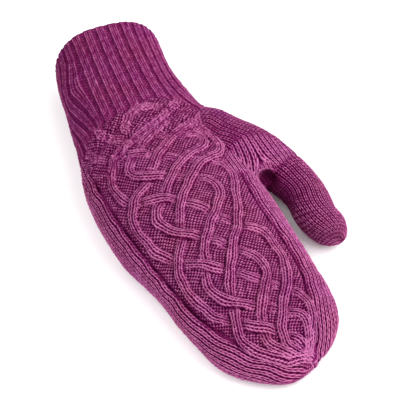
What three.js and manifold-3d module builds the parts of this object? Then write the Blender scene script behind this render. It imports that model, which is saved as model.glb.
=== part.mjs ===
// A right-hand knitted mitten with a ribbed cuff, a cabled back and a gusseted thumb.
// Millimetres, +Z up. It lies palm down: fingertips toward -Y, cuff toward +Y, thumb toward +X.
// Every knitted section is a hollow shell of the fabric's thickness, and the cuff end is open.
import * as THREE from 'three';
import { mergeVertices } from 'three/addons/utils/BufferGeometryUtils.js';
import Module from 'manifold-3d';

const wasm = await Module();
wasm.setup();

// Driving dimensions
const LENGTH = 266; // open end of the cuff to the fingertip, along the middle line
const FABRIC = 2.8; // thickness of the knitting
const GAP = 0.3; // left between neighbouring sections
const RIB_COUNT = 24;
const RIB_DEPTH = 1.4;
const EDGE_ROW = 4; // length of the cast-on row
const BAND_WIDTH = 10; // plain band along each side
const YARN_RADIUS = 1;
const SIDE_SEAM_HEIGHT = 20; // height that parts the back from the palm

// Heights and a side distance beyond everything
const LOW = -10;
const HIGH = 80;
const FAR = 105;

// Where the sections end, as distances from the open end of the cuff
const CUFF_END = 74;
const HAND_START = 91;
const GUSSET_END = 153;
const HAND_END = 163;
const FINGERS_START = 187;
const TIP_CLOSURE = 252;
const TIP_ARC_START = 225; // from here the outline rounds off to the fingertip

// The palm side rests flat: its round is pressed in by SETTLING. The soft rings arch up over the surface.
const SETTLING = 1.2;
const ARCH = 2.2;

// The hand's cross sections. outer and inner are the half widths toward the little finger and the thumb,
// top and bottom are heights, and turn is the middle line's direction, in degrees from -Y toward +X.
const SECTIONS = [
  { along: 0, outer: 33.5, inner: 36.5, top: 51, bottom: -SETTLING, turn: -11 },
  { along: 30, outer: 37, inner: 36.5, top: 49, bottom: -SETTLING, turn: -9.5 },
  { along: 62, outer: 40, inner: 40.5, top: 48, bottom: -SETTLING, turn: -7 },
  { along: 76, outer: 43, inner: 44, top: 47, bottom: ARCH, turn: -5.5 },
  { along: 89, outer: 46.5, inner: 48, top: 46, bottom: ARCH, turn: -4 },
  { along: 100, outer: 49.5, inner: 47, top: 45.5, bottom: -SETTLING, turn: -3.2 },
  { along: 120, outer: 53, inner: 46, top: 44, bottom: -SETTLING, turn: -1 },
  { along: 150, outer: 53, inner: 46.5, top: 42, bottom: -SETTLING, turn: 1 },
  { along: 163, outer: 51, inner: 47.2, top: 40, bottom: ARCH, turn: 2 },
  { along: 187, outer: 47.5, inner: 45.2, top: 36, bottom: ARCH, turn: 4 },
  { along: 200, outer: 47, inner: 43, top: 34, bottom: -SETTLING, turn: 5 },
  { along: TIP_ARC_START, outer: 46.5, inner: 39, top: 30, bottom: -SETTLING, turn: 9 },
  { along: LENGTH, outer: 45.5, inner: 37.5, top: 25, bottom: -SETTLING, turn: 16 },
];
const TIP_HEIGHT = 9; // height of the fingertip's point
const WIDEST = 0.42; // part of the height at which a section is widest

// The thumb's axis, from inside the hand to its tip, as places beside the middle line
const THUMB_STATIONS = [
  { along: 84, side: 21, height: 24, radius: 16 },
  { along: 97, side: 34, height: 22, radius: 21.4 },
  { along: 108, side: 43.2, height: 20.5, radius: 21.1 },
  { along: 120, side: 52.2, height: 18.6, radius: 20.7 },
  { along: 131, side: 60, height: 17.4, radius: 18.5 },
  { along: 143, side: 65.8, height: 16.3, radius: 14.8 },
  { along: 163, side: 69.7, height: 13.6, radius: 13.2 },
  { along: 185, side: 65.3, height: 13, radius: 12.6 },
  { along: 198, side: 66.6, height: 12.2, radius: 11.6 },
  { along: 210, side: 67.8, height: 11.5, radius: 9.4 },
];
const THUMB_BASE = 0.56; // fractions of the thumb's axis where its sections end
const THUMB_RING_END = 0.655;
const THUMB_CLOSURE = 0.92;
const THUMB_ARC_START = 0.9; // from here the thumb rounds off to its tip
const THUMB_CLEARANCE = 15.5; // from the thumb's axis to the line that parts it from the hand
const THUMB_REACH = 40; // from the thumb's axis to beyond its outer side
const BEYOND_TIP = 1.3; // fraction of the thumb's axis that is past its tip
const THUMB_PARTING = 0.004; // fraction of the thumb's axis left open between gusset and thumb
const THUMB_FLATTENING = 0.9; // height over width

const WOOL = { color: 0x9c3a73, roughness: 0.95, metalness: 0 };

// Value of one of a table's columns at a distance along it, on a smooth curve through the rows.
function column(table, name, along) {
  const last = table.length - 1;
  let row = 0;
  while (row < last - 1 && along > table[row + 1].along) row += 1;
  const slope = (index) => {
    const before = table[Math.max(index - 1, 0)];
    const after = table[Math.min(index + 1, last)];
    return (after[name] - before[name]) / (after.along - before.along);
  };
  const start = table[row];
  const end = table[row + 1];
  const span = end.along - start.along;
  const t = THREE.MathUtils.clamp((along - start.along) / span, 0, 1);
  const rise = end[name] - start[name];
  const a = slope(row) * span - rise;
  const b = -slope(row + 1) * span + rise;
  return start[name] + rise * t + t * (1 - t) * (a * (1 - t) + b * t);
}

// The middle line, added up in short steps from its direction, with its 150 mm point at the origin.
const STEP = 1;
const MIDDLE = [new THREE.Vector2(0, 0)];
for (let along = STEP; along <= LENGTH; along += STEP) {
  const turn = THREE.MathUtils.degToRad(column(SECTIONS, 'turn', along - STEP / 2));
  const previous = MIDDLE[MIDDLE.length - 1];
  MIDDLE.push(new THREE.Vector2(previous.x + STEP * Math.sin(turn), previous.y - STEP * Math.cos(turn)));
}
const ORIGIN = MIDDLE[150].clone();
MIDDLE.forEach((point) => point.sub(ORIGIN));

// Plan position of a place given by its distance along the middle line and beside it (+ toward the thumb).
function plan(along, side) {
  const index = THREE.MathUtils.clamp(Math.floor(along / STEP), 0, MIDDLE.length - 2);
  const turn = THREE.MathUtils.degToRad(column(SECTIONS, 'turn', THREE.MathUtils.clamp(along, 0, LENGTH)));
  const from = MIDDLE[index];
  const onLine = from.clone().lerp(MIDDLE[index + 1], along / STEP - index);
  return onLine.add(new THREE.Vector2(Math.cos(turn), Math.sin(turn)).multiplyScalar(side));
}

// Quarter-ellipse that shrinks a section from 1 at the start of an arc to nearly 0 at its end.
function roundOff(position, start, end) {
  const t = THREE.MathUtils.clamp((position - start) / (end - start), 0, 0.9995);
  return Math.sqrt(1 - t * t);
}

// One closed ring of points around the hand, inset from the outer face, with ribs of a given depth.
function handRing(along, inset, sides, ribDepth) {
  const closing = roundOff(along, TIP_ARC_START, LENGTH - inset);
  const outer = (column(SECTIONS, 'outer', along) - inset) * closing;
  const inner = (column(SECTIONS, 'inner', along) - inset) * closing;
  const top = TIP_HEIGHT + (column(SECTIONS, 'top', along) - TIP_HEIGHT - inset) * closing;
  const bottom = TIP_HEIGHT + (column(SECTIONS, 'bottom', along) - TIP_HEIGHT + inset) * closing;
  const widest = bottom + (top - bottom) * WIDEST;
  const ring = [];
  for (let i = 0; i < sides; i += 1) {
    const angle = (i / sides) * 2 * Math.PI;
    const groove = ribDepth * (0.5 - 0.5 * Math.cos(RIB_COUNT * angle));
    const across = Math.sign(Math.cos(angle)) * Math.abs(Math.cos(angle)) ** 0.85;
    const up = Math.sign(Math.sin(angle)) * Math.abs(Math.sin(angle)) ** (angle < Math.PI ? 0.9 : 0.6);
    const side = across * ((across > 0 ? inner : outer) - groove);
    const height = widest + up * ((up > 0 ? top - widest : widest - bottom) - groove);
    const place = plan(along, side);
    ring.push(new THREE.Vector3(place.x, place.y, Math.max(height, inset)));
  }
  return ring;
}

// Distances at which the hand's rings are taken: even steps, then closer ones around the fingertip.
function handStations(start, inset) {
  const stations = [];
  const evenSteps = 18;
  for (let i = 0; i < evenSteps; i += 1) {
    stations.push(start + ((TIP_ARC_START - start) * i) / evenSteps);
  }
  const arcSteps = 8;
  const end = LENGTH - inset;
  for (let i = 0; i <= arcSteps; i += 1) {
    const quarter = (i / arcSteps) * (Math.PI / 2);
    stations.push(TIP_ARC_START + (end - TIP_ARC_START) * Math.min(Math.sin(quarter), 0.9995));
  }
  return stations;
}

// A closed body through a list of rings, with a fan over each end.
function loft(rings) {
  const sides = rings[0].length;
  const vertices = rings.flat();
  const triangles = [];
  const quad = (a, b, c, d) => triangles.push(a, b, c, a, c, d);
  for (let r = 0; r < rings.length - 1; r += 1) {
    for (let i = 0; i < sides; i += 1) {
      const next = (i + 1) % sides;
      quad(r * sides + i, r * sides + next, (r + 1) * sides + next, (r + 1) * sides + i);
    }
  }
  const fan = (ring, flip) => {
    const middle = new THREE.Vector3();
    rings[ring].forEach((point) => middle.addScaledVector(point, 1 / sides));
    vertices.push(middle);
    const centre = vertices.length - 1;
    for (let i = 0; i < sides; i += 1) {
      const a = ring * sides + i;
      const b = ring * sides + ((i + 1) % sides);
      triangles.push(centre, flip ? b : a, flip ? a : b);
    }
  };
  fan(0, true);
  fan(rings.length - 1, false);
  const geometry = new THREE.BufferGeometry();
  const positions = new Float32Array(vertices.flatMap((point) => point.toArray()));
  geometry.setAttribute('position', new THREE.BufferAttribute(positions, 3));
  geometry.setIndex(triangles);
  return geometry;
}

// A three.js geometry as a solid that can be cut and joined.
function solid(geometry) {
  geometry.deleteAttribute('normal');
  geometry.deleteAttribute('uv');
  const merged = mergeVertices(geometry, 1e-4);
  const body = new wasm.Manifold(new wasm.Mesh({
    numProp: 3,
    vertProperties: new Float32Array(merged.attributes.position.array),
    triVerts: new Uint32Array(merged.index.array),
  }));
  if (body.volume() > 0) return body;
  throw new Error('a solid is inside out');
}

// A cut solid as a three.js geometry, without the slivers that a cut may leave beside the main body.
function geometryOf(body) {
  const pieces = body.decompose();
  pieces.sort((a, b) => b.volume() - a.volume());
  const mesh = pieces[0].getMesh();
  const geometry = new THREE.BufferGeometry();
  geometry.setAttribute('position', new THREE.BufferAttribute(mesh.vertProperties, 3));
  geometry.setIndex(new THREE.BufferAttribute(mesh.triVerts, 1));
  return geometry;
}

// An upright prism over a plan outline, from one height to another.
function prism(outline, low, high) {
  const shape = new THREE.Shape(outline);
  const geometry = new THREE.ExtrudeGeometry(shape, { depth: high - low, bevelEnabled: false });
  geometry.translate(0, 0, low);
  return solid(geometry);
}

// The prism between two distances along the hand and two sides, each side a function of the distance.
function handRegion(start, end, lowSide, highSide, low = LOW, high = HIGH) {
  const steps = 6;
  const outline = [];
  for (let i = 0; i <= steps; i += 1) {
    const along = start + ((end - start) * i) / steps;
    outline.push(plan(along, highSide(along)));
  }
  for (let i = steps; i >= 0; i -= 1) {
    const along = start + ((end - start) * i) / steps;
    outline.push(plan(along, lowSide(along)));
  }
  return prism(outline, low, high);
}

const farOuter = () => -FAR;
const farInner = () => FAR;
const outerSeam = (offset) => (along) => offset - column(SECTIONS, 'outer', along)
  * roundOff(along, TIP_ARC_START, LENGTH) + BAND_WIDTH;
const innerSeam = (offset) => (along) => offset + column(SECTIONS, 'inner', along)
  * roundOff(along, TIP_ARC_START, LENGTH) - BAND_WIDTH;

// The thumb's axis as a curve, and its rings.
const THUMB_AXIS = new THREE.CatmullRomCurve3(THUMB_STATIONS.map((station) => {
  const place = plan(station.along, station.side);
  return new THREE.Vector3(place.x, place.y, station.height);
}));

function thumbAcross(fraction) {
  const tangent = THUMB_AXIS.getTangentAt(fraction);
  return new THREE.Vector3(-tangent.y, tangent.x, 0).normalize();
}

const THUMB_RADII = THUMB_STATIONS.map((station, index) => {
  const upTo = new THREE.CatmullRomCurve3(THUMB_AXIS.points.slice(0, index + 1));
  return { along: index === 0 ? 0 : upTo.getLength() / THUMB_AXIS.getLength(), radius: station.radius };
});

function thumbRadius(fraction, inset) {
  const radius = column(THUMB_RADII, 'radius', fraction);
  return (radius - inset) * roundOff(fraction, THUMB_ARC_START, 1 - inset / THUMB_AXIS.getLength());
}

function thumbRing(fraction, inset, sides) {
  const centre = THUMB_AXIS.getPointAt(fraction);
  const across = thumbAcross(fraction);
  const radius = thumbRadius(fraction, inset);
  const ring = [];
  for (let i = 0; i < sides; i += 1) {
    const angle = (i / sides) * 2 * Math.PI;
    const point = centre.clone().addScaledVector(across, radius * Math.cos(angle));
    point.z = Math.max(point.z + radius * THUMB_FLATTENING * Math.sin(angle), inset);
    ring.push(point);
  }
  return ring;
}

function thumbSolid(inset) {
  const sides = 24;
  const rings = [];
  const evenSteps = 10;
  for (let i = 0; i < evenSteps; i += 1) {
    rings.push(thumbRing((THUMB_ARC_START * i) / evenSteps, inset, sides));
  }
  const arcSteps = 5;
  const end = 1 - inset / THUMB_AXIS.getLength();
  for (let i = 0; i <= arcSteps; i += 1) {
    const quarter = (i / arcSteps) * (Math.PI / 2);
    const reach = Math.min(Math.sin(quarter), 0.9995);
    rings.push(thumbRing(THUMB_ARC_START + (end - THUMB_ARC_START) * reach, inset, sides));
  }
  return solid(loft(rings));
}

// The prism between two fractions of the thumb's axis, wide enough to hold the thumb alone.
function thumbRegion(start, end, margin) {
  const steps = 6;
  const outerEdge = [];
  const innerEdge = [];
  for (let i = 0; i <= steps; i += 1) {
    const fraction = start + ((end - start) * i) / steps;
    const onAxis = Math.min(fraction, 1);
    const centre = THUMB_AXIS.getPointAt(onAxis);
    centre.addScaledVector(THUMB_AXIS.getTangentAt(onAxis), (fraction - onAxis) * THUMB_AXIS.getLength());
    const across = thumbAcross(onAxis);
    const toHand = THUMB_CLEARANCE + margin;
    outerEdge.push(new THREE.Vector2(centre.x + across.x * THUMB_REACH, centre.y + across.y * THUMB_REACH));
    innerEdge.unshift(new THREE.Vector2(centre.x - across.x * toHand, centre.y - across.y * toHand));
  }
  return prism([...outerEdge, ...innerEdge], LOW, HIGH);
}

function handSolid(start, inset) {
  const sides = 40;
  return solid(loft(handStations(start, inset).map((along) => handRing(along, inset, sides, 0))));
}

function knittedShell() {
  const outside = handSolid(EDGE_ROW, 0).add(thumbSolid(0));
  const inside = handSolid(EDGE_ROW - 2, FABRIC).add(thumbSolid(FABRIC));
  return outside.subtract(inside);
}

// The cuff's tube, with lengthwise ribs outside and a smooth face inside.
function cuffTube(start, end, ribDepth, steps) {
  const outerRings = [];
  const innerRings = [];
  for (let i = 0; i <= steps; i += 1) {
    const along = start + ((end - start) * i) / steps;
    outerRings.push(handRing(along, 0, RIB_COUNT * 4, ribDepth));
    const beyond = i === 0 ? -1 : i === steps ? 1 : 0;
    innerRings.push(handRing(Math.max(along, 0), FABRIC, 48, 0).map((point) => {
      const direction = plan(along + 1, 0).sub(plan(along, 0)).multiplyScalar(beyond);
      return point.clone().add(new THREE.Vector3(direction.x, direction.y, 0));
    }));
  }
  return solid(loft(outerRings)).subtract(solid(loft(innerRings)));
}

// A woven-in yarn end, lying on the inside of the palm between two distances along the hand.
function palmYarnEnd(start, end, side) {
  const points = [];
  const steps = 5;
  for (let i = 0; i <= steps; i += 1) {
    const along = start + ((end - start) * i) / steps;
    const place = plan(along, side + 2 * Math.sin((i / steps) * Math.PI));
    points.push(new THREE.Vector3(place.x, place.y, FABRIC + 2 * YARN_RADIUS + GAP));
  }
  return yarn(points);
}

function thumbYarnEnd(start, end) {
  const points = [];
  const steps = 4;
  for (let i = 0; i <= steps; i += 1) {
    const fraction = start + ((end - start) * i) / steps;
    const point = THUMB_AXIS.getPointAt(fraction);
    const innerFace = Math.max(point.z - thumbRadius(fraction, FABRIC) * THUMB_FLATTENING, FABRIC);
    point.z = innerFace + 2 * YARN_RADIUS + GAP;
    points.push(point);
  }
  return yarn(points);
}

function yarn(points) {
  const route = new THREE.CatmullRomCurve3(points);
  const section = new THREE.Shape().absarc(0, 0, YARN_RADIUS, 0, 2 * Math.PI);
  const geometry = new THREE.ExtrudeGeometry(section, { extrudePath: route, steps: 10, curveSegments: 4 });
  return geometryOf(solid(geometry));
}

const mitten = new THREE.Group();

function addNode(name, geometry) {
  const mesh = new THREE.Mesh(geometry, new THREE.MeshStandardMaterial(WOOL));
  mesh.name = name;
  mitten.add(mesh);
}

const half = GAP / 2;

const shell = knittedShell();
const thumbShell = shell.intersect(thumbRegion(THUMB_BASE, BEYOND_TIP, 0));
const handShell = shell.subtract(thumbRegion(THUMB_BASE - THUMB_PARTING, BEYOND_TIP, half));

// A section of the hand's shell between two distances, or only a strip of it.
function cut(name, start, end, lowSide = farOuter, highSide = farInner, low = LOW, high = HIGH) {
  const region = handRegion(start + half, end - half, lowSide, highSide, low, high);
  addNode(name, geometryOf(handShell.intersect(region)));
}

// The back, the palm and the two bands of a stretch of the hand.
function cutPanels(start, end, names) {
  cut(names.back, start, end, outerSeam(half), innerSeam(-half), SIDE_SEAM_HEIGHT, HIGH);
  cut(names.palm, start, end, outerSeam(half), innerSeam(-half), LOW, SIDE_SEAM_HEIGHT);
  cut(names.outerBand, start, end, farOuter, outerSeam(-half));
}

addNode('cast_on_edge', geometryOf(cuffTube(0, EDGE_ROW - half, 0.5, 1)));
addNode('ribbed_cuff', geometryOf(cuffTube(EDGE_ROW + half, CUFF_END - half, RIB_DEPTH, 3)));
cut('wrist_gather', CUFF_END, HAND_START);

cutPanels(HAND_START, HAND_END, {
  back: 'cabled_back_panel',
  palm: 'palm_panel',
  outerBand: 'outer_side_band',
});
cut('thumb_gusset', HAND_START, GUSSET_END, innerSeam(half), farInner);
cut('inner_side_band', GUSSET_END, HAND_END, innerSeam(half), farInner);

cut('knuckle_band', HAND_END, FINGERS_START);

cutPanels(FINGERS_START, TIP_CLOSURE, {
  back: 'finger_back_panel',
  palm: 'finger_palm_panel',
  outerBand: 'finger_outer_band',
});
cut('finger_inner_band', FINGERS_START, TIP_CLOSURE, innerSeam(half), farInner);
cut('fingertip_closure', TIP_CLOSURE, LENGTH + 5);

function cutThumb(name, start, end) {
  const halfStep = half / THUMB_AXIS.getLength();
  addNode(name, geometryOf(thumbShell.intersect(thumbRegion(start + halfStep, end - halfStep, -half))));
}

cutThumb('thumb_base_ring', THUMB_BASE, THUMB_RING_END);
cutThumb('thumb_tube', THUMB_RING_END, THUMB_CLOSURE);
cutThumb('thumb_tip_closure', THUMB_CLOSURE, BEYOND_TIP);

addNode('cast_on_tail', palmYarnEnd(8, 48, -14));
addNode('tip_tail', palmYarnEnd(198, 236, 6));
addNode('thumb_tail', thumbYarnEnd(0.68, 0.86));

// The origin is at the middle of the footprint, at the height that the mitten stands on.
const box = new THREE.Box3().setFromObject(mitten);
mitten.position.set(-(box.min.x + box.max.x) / 2, -(box.min.y + box.max.y) / 2, -box.min.z);

export default mitten;
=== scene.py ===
"""A right-hand knitted mitten, palm down: ribbed cuff, braided back, plain palm and bands, gusseted thumb.

The knitting is a fine mesh: a smooth base shape whose points stand out by the height of the stitches there.
Shapes are worked out in millimetres, and become metres when a mesh is made.
"""
import math

import bpy
import numpy as np
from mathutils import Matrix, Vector


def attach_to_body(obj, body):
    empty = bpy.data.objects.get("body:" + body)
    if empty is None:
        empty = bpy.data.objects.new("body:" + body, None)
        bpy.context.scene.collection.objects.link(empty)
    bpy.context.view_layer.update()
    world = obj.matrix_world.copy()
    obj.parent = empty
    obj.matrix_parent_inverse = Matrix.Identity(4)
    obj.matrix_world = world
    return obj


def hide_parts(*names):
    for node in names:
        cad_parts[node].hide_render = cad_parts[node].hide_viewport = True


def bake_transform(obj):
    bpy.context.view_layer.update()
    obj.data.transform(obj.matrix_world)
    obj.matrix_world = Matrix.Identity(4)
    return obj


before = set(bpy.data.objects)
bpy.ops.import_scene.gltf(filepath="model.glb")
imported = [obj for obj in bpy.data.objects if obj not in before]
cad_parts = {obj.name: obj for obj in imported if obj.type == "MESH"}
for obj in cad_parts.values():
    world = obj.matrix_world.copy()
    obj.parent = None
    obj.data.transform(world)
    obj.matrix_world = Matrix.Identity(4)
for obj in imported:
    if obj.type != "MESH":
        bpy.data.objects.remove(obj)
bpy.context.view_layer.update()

MM = 0.001
LENGTH = 266.0          # open end of the cuff to the fingertip, along the middle line
INNER_DEPTH = 2.0       # from the base shape to the inside of the knitting
TIP_ARC_START = 225.0   # from here the outline rounds off to the fingertip
TIP_HEIGHT = 9.0        # height of the fingertip's middle
SETTLING = 1.2          # how far the palm side is pressed flat by lying down
WIDEST = 0.42           # part of the height at which a section is widest
SIDE_ROUNDNESS = 0.85   # powers of a section's outline: 1 gives an ellipse, and less is squarer
TOP_ROUNDNESS = 0.9
PALM_ROUNDNESS = 0.6
MEAN_POWER = 2.25       # between the outline's powers, for distances from it
FLOOR_GAP = 0.15        # lowest point of the yarn
PALM_HEIGHT = 1.0       # height of the palm's base shape, so that its stitches rest on the floor

WALE = 2.6              # width of a stitch
ROW = 2.2               # height of a stitch
BAND_WALE = 3.2         # the stretched stitches of the side bands
BAND_ROW = 2.4
RIB_COUNT = 24
RIB_STITCHES = 3        # two knit, one purl
RIB_PHASE = 1.78        # in stitches
RIB_GROOVE = 2.5        # the groove's middle within a rib, in stitches
RIB_CREST = 0.72        # distance of a rib's highest line from the groove's middle, in stitches
RIB_DEPTH = 1.1         # depth of the groove
RIM = 3.0               # length of the rounded edge of the opening
RIM_DROP = 1.4          # how far the edge rounds off

STRAND_WIDTH = 6.8
STRAND_COLUMNS = 2      # columns of stitches side by side in a strand
STRAND_ROW = 2.3
STRAND_RISE = 1.5       # height of a strand's crown
STRAND_DIP = 1.7        # how far a strand dips where it passes under
STRAND_LIFT = 0.5       # how far a strand rises where it passes over
STRAND_CLEAR = 2.4      # how far beyond a crossing a strand returns to its own level
GROUND = -0.9           # height of the purl ground
PLAIN_RELIEF = 0.55     # how far plain stitches stand out
VALLEY = 1.6            # depth of the fold along the panel's edges
OUTER_PAINTED_SHADE = 0.07  # how much painted shade darkens the little-finger side, which the key light reaches less
HIDDEN_SHADE = 0.4      # shade of the inside and of the thumb's last stitches

MESH_STEP = 0.40        # distance between the mesh's points on the back
PALM_STEP = 0.6
INNER_RATIO = 4         # the inside has one point for this many outside
CHUNK = 20000           # points worked on at a time where distances are measured, to save memory

PLACE = (-0.48, 129.51, 0.0)     # where the middle line starts in the frame

# Cross sections: along, half width toward the little finger, half width toward the thumb, top, bottom,
# and the middle line's direction in degrees from -Y toward +X.
OUTER, INNER, TOP, BOTTOM, TURN = range(1, 6)
SECTIONS = np.array([
    (0, 33.5, 36.5, 51, -SETTLING, -11),
    (30, 37, 36.5, 49, -SETTLING, -9.5),
    (62, 40, 40.5, 48, -SETTLING, -7),
    (76, 43, 44, 47, -SETTLING, -5.5),
    (89, 46.5, 48, 46, -SETTLING, -4),
    (100, 49.5, 47, 45.5, -SETTLING, -3.2),
    (120, 53, 46, 44, -SETTLING, -1),
    (150, 53, 46.5, 42, -SETTLING, 1),
    (163, 51, 47.2, 40, -SETTLING, 2),
    (187, 47.5, 45.2, 36, -SETTLING, 4),
    (200, 47, 43, 34, -SETTLING, 5),
    (TIP_ARC_START, 46.5, 39, 30, -SETTLING, 9),
    (LENGTH, 45.5, 37.5, 25, -SETTLING, 16),
])

# The thumb's axis: along, side, height, radius.
THUMB_STATIONS = np.array([
    (84, 21, 24, 16),
    (97, 34, 22, 21.4),
    (108, 43.2, 20.5, 21.1),
    (120, 52.2, 18.6, 20.7),
    (131, 60, 17.4, 18.5),
    (143, 65.8, 16.3, 14.8),
    (163, 69.7, 13.6, 13.2),
    (185, 65.3, 13, 12.6),
    (198, 66.6, 12.2, 11.6),
    (210, 67.8, 11.5, 9.4),
])
THUMB_ARC_START = 0.9   # fraction of the thumb's axis from which the thumb rounds off to its tip
THUMB_FLATTENING = 0.9
THUMB_STITCHES = 28     # once around the thumb
THUMB_BASE = 0.55       # fraction of the thumb's axis where the thumb's own stitches start
THUMB_ROW = 2.2
THUMB_LEAN = 10         # the thumb's rows rise by this many rows once around
PIT = (147.0, 52.0, 22.0)       # the hollow between thumb and hand: along, side, height
PIT_RADIUS = 5.0
PIT_RIM = 7.2           # distance of its raised rim from its middle
PIT_DEPTH = 5.5
PARTING = 6.5           # the columns of stitches run around the hollow as around a post of this radius
PARTING_REACH = 30.0    # how far from the hollow they still do
PARTING_PAINTED_LIGHT = 0.07     # how much painted light brightens them
WEB = 3.5               # how far the thumb and the hand run smoothly into each other

# The cabled panel's edges: along, toward the little finger, toward the thumb, measured over the surface.
PANEL_EDGES = np.array([
    (60, -50, 38),
    (85, -49, 40),
    (100, -48, 41),
    (120, -48.5, 40),
    (140, -48, 36),
    (165, -46.5, 32.5),
    (195, -43.5, 30.5),
    (210, -41.5, 29),
    (222, -38.5, 25.5),
    (235, -33.5, 18.5),
    (247, -26.5, 11),
    (257, -17.5, 3.5),
    (LENGTH, -6.5, -5.5),
])

# How far the ribs sway toward the thumb on the little-finger side and on the thumb side: along, sway.
OUTER_SWAY = np.array([(0, 1), (14, 0.5), (26, -3.5), (36, -5.5), (46, -3.5), (63, 4), (74, 9), (97, 13)])
INNER_SWAY = np.array([(0, -1.5), (20, -2), (45, -4.5), (61, -4.5), (73, -1.5), (85, 4), (97, 9)])
# Where the ribs end: across, along.
RIB_ENDS = np.array([(-140, 74), (-60, 80), (-46, 84), (-34, 75), (-20, 74), (-5, 71.5), (8, 70), (18, 71.5),
                     (27, 77), (34, 88), (50, 92), (75, 86), (140, 74)])

# The braid's strands over the panel, from the wrist to the tip: (across, along). The four outer strands
# swing from edge to edge, and the two inner strands swing inside them.
OUTER_STRANDS = [
    [(36, 74), (40, 82), (38, 90), (30, 95.5), (20, 98.5), (10, 103), (0, 109), (-8, 115), (-14, 121),
     (-21, 127), (-29, 130), (-36, 136), (-40.5, 143), (-41, 151), (-40.5, 159), (-38.5, 168),
     (-34, 176), (-27.5, 182.5), (-21, 189), (-15, 195), (-8, 202), (-2, 209.5), (4, 218), (9, 226),
     (13, 233), (13.5, 240), (10.5, 247), (4, 254), (-4, 260)],
    [(-30, 75), (-29, 83), (-23, 89), (-15, 94), (-6, 98), (4, 99.5), (14, 99), (24, 100.5),
     (31.5, 105.5), (34.5, 112), (34, 119), (29.5, 125), (22, 127.5), (14, 129.5), (6, 134.5), (-2, 141),
     (-9, 148), (-15, 155), (-19, 163), (-23.5, 170.5), (-30, 177), (-35, 185), (-37, 194), (-37, 203),
     (-35, 212), (-31, 220), (-25.5, 226.5), (-21, 232), (-15, 239), (-10, 244.5), (-6, 252), (-5, 259)],
    [(26, 72), (23, 78), (16, 83), (8, 87), (-1, 91), (-10, 94.5), (-19, 96.5), (-27, 99.5), (-34, 106),
     (-38.5, 114), (-39.5, 122), (-37.5, 130), (-33, 134.5), (-27, 137), (-20, 140), (-13, 144.5),
     (-6, 152), (0, 160), (5, 169), (10.5, 176), (16.5, 182), (21, 188.5), (22.5, 196), (22, 205),
     (20, 213), (15, 221), (8, 227.5), (1, 233.5), (-5, 239), (-9.5, 244), (-12.5, 251), (-9, 259)],
    [(-49, 68), (-45, 79), (-41.5, 89), (-36.5, 97), (-28, 101), (-20, 104), (-13, 108), (-5, 113.5),
     (3, 119.5), (12, 124.5), (22, 129), (27.5, 134.5), (28.5, 142), (26, 150), (22, 158), (18.5, 166),
     (13.5, 173.5), (7, 181), (0, 188), (-6, 195), (-12, 202), (-17, 208.5), (-20.5, 215), (-24, 221),
     (-28.5, 227.5), (-31, 235), (-29.5, 242), (-25, 249), (-18, 255.5), (-9, 261)],
]
INNER_STRANDS = [
    [(-1, 74), (-8, 78), (-14, 84), (-13, 90), (-6, 95.5), (2, 99.5), (9, 102.5), (17, 104.5), (24, 107),
     (26.5, 112), (22.5, 117), (14.5, 119.5), (7, 122), (0, 126), (-7, 131), (-13, 136), (-19, 141),
     (-25, 146), (-28.5, 152), (-27, 158.5), (-22, 164.5), (-15, 170.5), (-8, 178), (-2.5, 186),
     (3, 193), (7.5, 199), (8.5, 205.5), (6.5, 211.5), (2, 217), (-4, 222), (-9.5, 227), (-14.5, 232.5),
     (-18.5, 238.5), (-20.5, 245), (-16.5, 252)],
    [(2, 75), (10, 78.5), (14.5, 84), (11, 89.5), (3, 94), (-5, 98), (-13, 102.5), (-20.5, 107),
     (-25.5, 112.5), (-25, 118), (-19, 122.5), (-11, 127), (-3, 132), (5, 137), (11.5, 141.5),
     (14.5, 147.5), (13, 154), (8, 160), (2, 165.5), (-5, 171), (-11.5, 177), (-16.5, 183.5),
     (-20.5, 190), (-24.5, 196), (-26.5, 202.5), (-25, 209.5), (-20, 216.5), (-13, 223), (-6, 230),
     (0, 236.5), (4.5, 243), (4, 250), (-1, 257)],
]
OVER_SIDE = -16.0       # beyond this side, only outer strands pass over
TIP_POINT = (-6.0, 262.0)       # where the last stitches are drawn in: across, along
TIP_PULL = 3.0          # how far they are drawn in
TIP_LOBE = (-27.0, 262.0)       # where the band bulges beside the tip: across, along
TIP_FULLNESS = 2.0      # how far it bulges


def column(table, index, along):
    """One of a table's columns at given distances, on a smooth curve through the rows."""
    x = table[:, 0]
    y = table[:, index]
    before = np.maximum(np.arange(len(x)) - 1, 0)
    after = np.minimum(np.arange(len(x)) + 1, len(x) - 1)
    slopes = (y[after] - y[before]) / (x[after] - x[before])
    along = np.asarray(along, dtype=float)
    row = np.clip(np.searchsorted(x, along, side="left") - 1, 0, len(x) - 2)
    span = x[row + 1] - x[row]
    t = np.clip((along - x[row]) / span, 0, 1)
    rise = y[row + 1] - y[row]
    a = slopes[row] * span - rise
    b = rise - slopes[row + 1] * span
    return y[row] + rise * t + t * (1 - t) * (a * (1 - t) + b * t)


def ramp(value, start, end):
    """Smooth step: 0 at the start and beyond, 1 at the end and beyond. The end may be the smaller one."""
    t = np.clip((value - start) / (end - start), 0, 1)
    return t * t * (3 - 2 * t)


def bell(distance, width):
    """1 at distance 0, falling softly to 0 on both sides."""
    return np.exp(-(distance / width) ** 2)


def running_sum(steps):
    """The sums of the steps so far, from 0."""
    return np.concatenate([[0], np.cumsum(steps)])


def unit(vectors):
    """Vectors of length 1 with the same directions."""
    return vectors / np.maximum(np.linalg.norm(vectors, axis=-1, keepdims=True), 1e-9)


# ---- the hand's base shape

LINE_STEPS = np.arange(0, LENGTH + 1)
LINE_TURN = np.radians(column(SECTIONS, TURN, LINE_STEPS[1:] - 0.5))
LINE_X = running_sum(np.sin(LINE_TURN))
LINE_Y = -running_sum(np.cos(LINE_TURN))


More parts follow.
